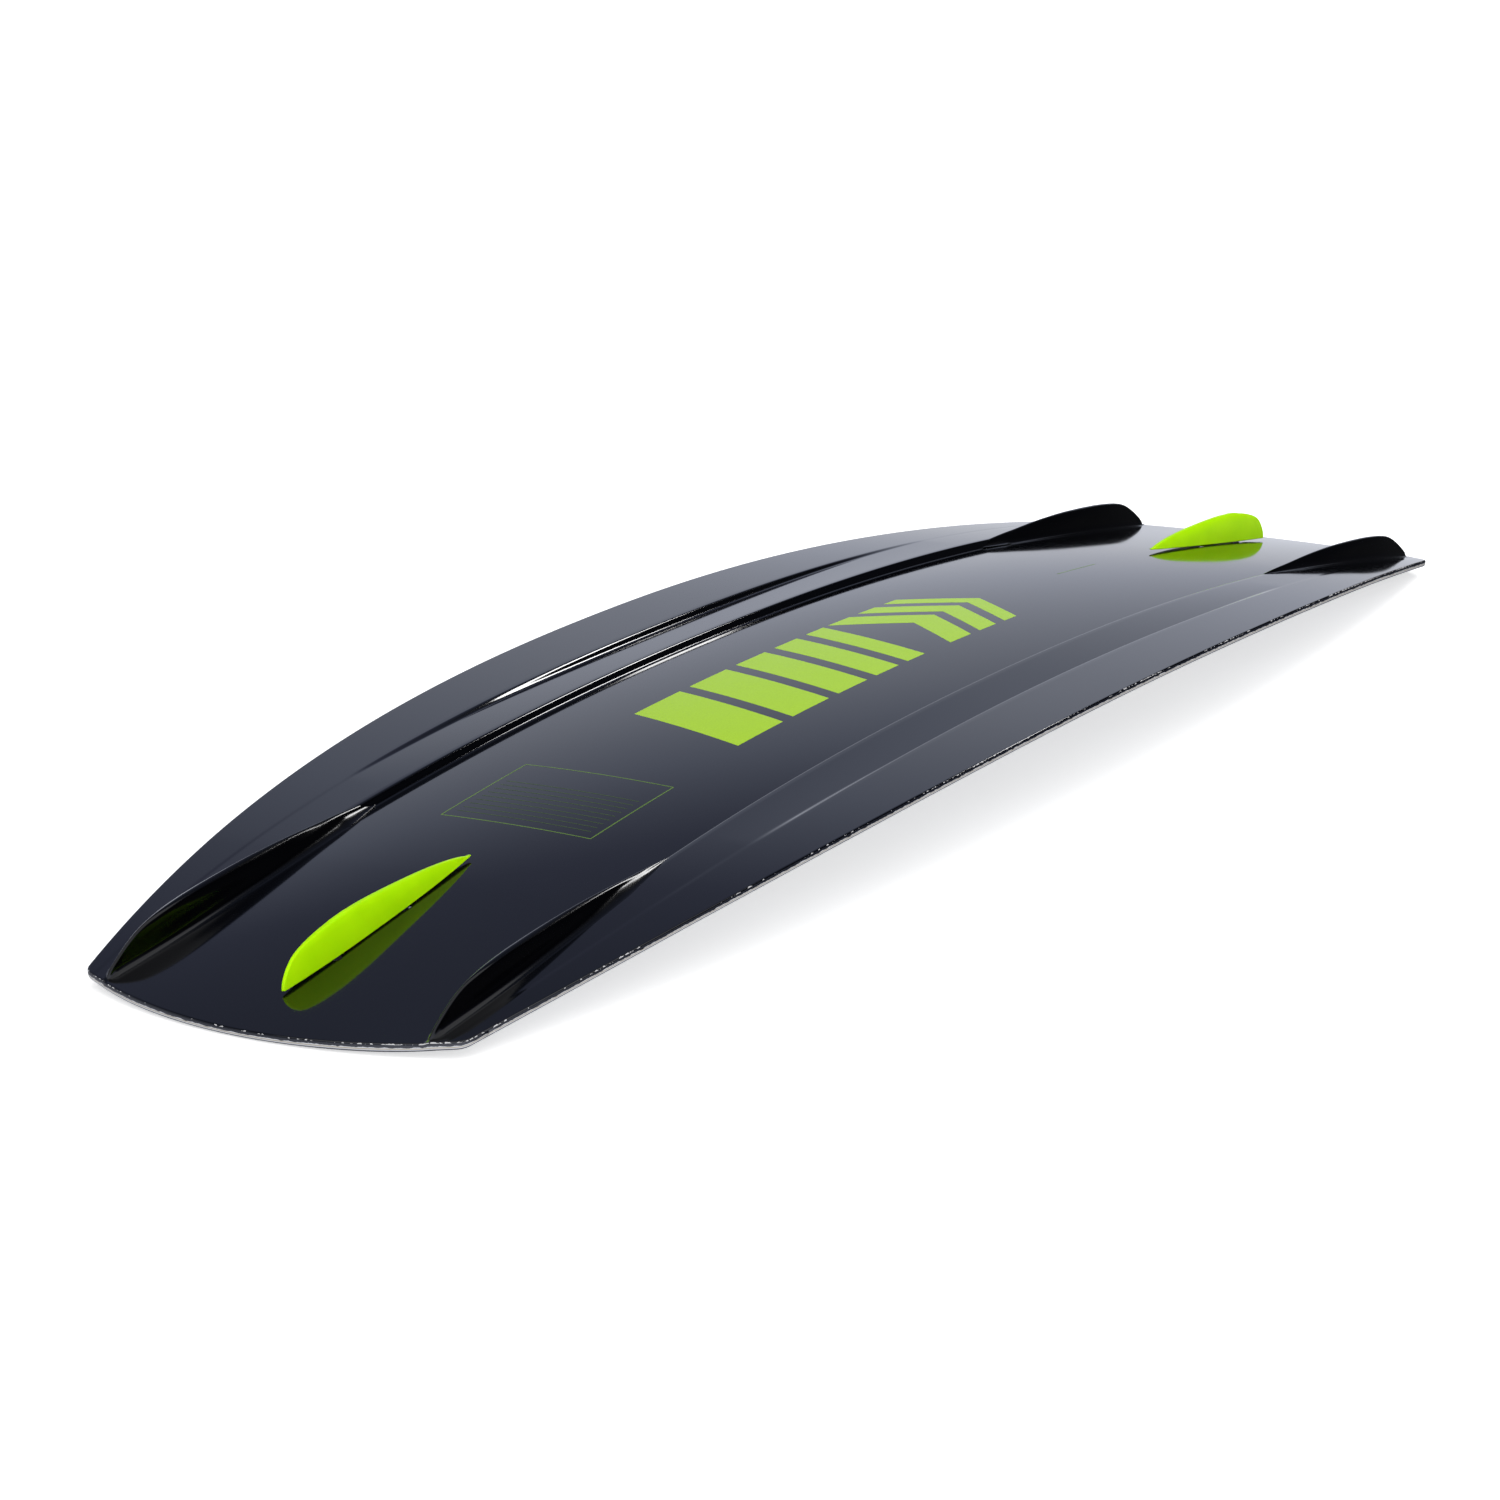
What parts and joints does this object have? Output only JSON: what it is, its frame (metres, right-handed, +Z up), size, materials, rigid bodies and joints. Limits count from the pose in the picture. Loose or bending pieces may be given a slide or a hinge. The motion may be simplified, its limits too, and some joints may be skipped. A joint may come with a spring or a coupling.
{
  "type": "wakeboard",
  "caption": "Twin-tip wakeboard lying base up, with moulded channels and side fins, and bolted centre fins that lift off when their screws are undone.",
  "frame": {"origin": "on the ground under the middle of the board, which lies base up on its two tips", "axes": "+X along the board to the tail, +Y to the left edge, +Z up, out of the base"},
  "size_m": [1.43, 0.425, 0.073],
  "materials": {
    "base_gloss": "high gloss dark navy base sheet",
    "deck_satin": "satin black deck sheet",
    "glass_laminate": "glass fibre in resin",
    "edge_pale": "pale edge with a beige stripe",
    "foam": "closed-cell foam",
    "stringer_wood": "sawn ply",
    "dense_block": "dense foam",
    "fin_black": "gloss black moulding",
    "fin_lime": "semi-gloss lime moulding",
    "brass": "machined",
    "steel": "stainless",
    "sleeve": "turned"
  },
  "bodies": {
    "board": {"base_sheet": "base_gloss", "base_laminate": "glass_laminate", "core_left": "foam", "core_centre": "foam", "core_right": "foam", "stringer_left": "stringer_wood", "stringer_right": "stringer_wood", "deck_laminate": "glass_laminate", "deck_sheet": "deck_satin", "edge_left": "edge_pale", "edge_right": "edge_pale", "edge_nose": "edge_pale", "edge_tail": "edge_pale", "side_fin_nose_left": "fin_black", "insert_block_nose_left": "dense_block", "binding_inserts_nose_left": "brass", "side_fin_nose_right": "fin_black", "insert_block_nose_right": "dense_block", "binding_inserts_nose_right": "brass", "fin_sleeves_nose": "sleeve", "side_fin_tail_left": "fin_black", "insert_block_tail_left": "dense_block", "binding_inserts_tail_left": "brass", "side_fin_tail_right": "fin_black", "insert_block_tail_right": "dense_block", "binding_inserts_tail_right": "brass", "fin_sleeves_tail": "sleeve"},
    "centre_fin_nose": {"centre_fin_nose": "fin_lime", "fin_barrels_nose": "brass"},
    "fin_washer_nose_inner": {"fin_washer_nose_inner": "steel"},
    "fin_screw_nose_inner": {"fin_screw_nose_inner": "steel"},
    "fin_washer_nose_outer": {"fin_washer_nose_outer": "steel"},
    "fin_screw_nose_outer": {"fin_screw_nose_outer": "steel"},
    "centre_fin_tail": {"centre_fin_tail": "fin_lime", "fin_barrels_tail": "brass"},
    "fin_washer_tail_inner": {"fin_washer_tail_inner": "steel"},
    "fin_screw_tail_inner": {"fin_screw_tail_inner": "steel"},
    "fin_washer_tail_outer": {"fin_washer_tail_outer": "steel"},
    "fin_screw_tail_outer": {"fin_screw_tail_outer": "steel"}
  },
  "joints": [
    {"name": "centre_fin_nose_lift", "type": "slide", "parent": "board", "child": "centre_fin_nose", "axis": [-0.1567, 0, 0.9876], "range_m": [0, 0.03]},
    {"name": "fin_washer_nose_inner_slide", "type": "slide", "parent": "board", "child": "fin_washer_nose_inner", "axis": [0.1567, 0, -0.9876], "range_m": [0, 0.008]},
    {"name": "fin_screw_nose_inner_turn", "type": "hinge", "parent": "fin_washer_nose_inner", "child": "fin_screw_nose_inner", "pos_m": [-0.5468, 0, 0.03593], "axis": [0.1567, 0, -0.9876], "range_deg": [0, 3600]},
    {"name": "fin_washer_nose_outer_slide", "type": "slide", "parent": "board", "child": "fin_washer_nose_outer", "axis": [0.1567, 0, -0.9876], "range_m": [0, 0.008]},
    {"name": "fin_screw_nose_outer_turn", "type": "hinge", "parent": "fin_washer_nose_outer", "child": "fin_screw_nose_outer", "pos_m": [-0.61791, 0, 0.02464], "axis": [0.1567, 0, -0.9876], "range_deg": [0, 3600]},
    {"name": "centre_fin_tail_lift", "type": "slide", "parent": "board", "child": "centre_fin_tail", "axis": [0.1567, 0, 0.9876], "range_m": [0, 0.03]},
    {"name": "fin_washer_tail_inner_slide", "type": "slide", "parent": "board", "child": "fin_washer_tail_inner", "axis": [-0.1567, 0, -0.9876], "range_m": [0, 0.008]},
    {"name": "fin_screw_tail_inner_turn", "type": "hinge", "parent": "fin_washer_tail_inner", "child": "fin_screw_tail_inner", "pos_m": [0.5468, 0, 0.03593], "axis": [-0.1567, 0, -0.9876], "range_deg": [0, 3600]},
    {"name": "fin_washer_tail_outer_slide", "type": "slide", "parent": "board", "child": "fin_washer_tail_outer", "axis": [-0.1567, 0, -0.9876], "range_m": [0, 0.008]},
    {"name": "fin_screw_tail_outer_turn", "type": "hinge", "parent": "fin_washer_tail_outer", "child": "fin_screw_tail_outer", "pos_m": [0.61791, 0, 0.02464], "axis": [-0.1567, 0, -0.9876], "range_deg": [0, 3600]}
  ],
  "couplings": [
    {"joint": "fin_screw_nose_inner_turn", "follows": "fin_washer_nose_inner_slide", "rad_per_m": 7854},
    {"joint": "fin_screw_nose_outer_turn", "follows": "fin_washer_nose_outer_slide", "rad_per_m": 7854},
    {"joint": "fin_screw_tail_inner_turn", "follows": "fin_washer_tail_inner_slide", "rad_per_m": 7854},
    {"joint": "fin_screw_tail_outer_turn", "follows": "fin_washer_tail_outer_slide", "rad_per_m": 7854}
  ]
}
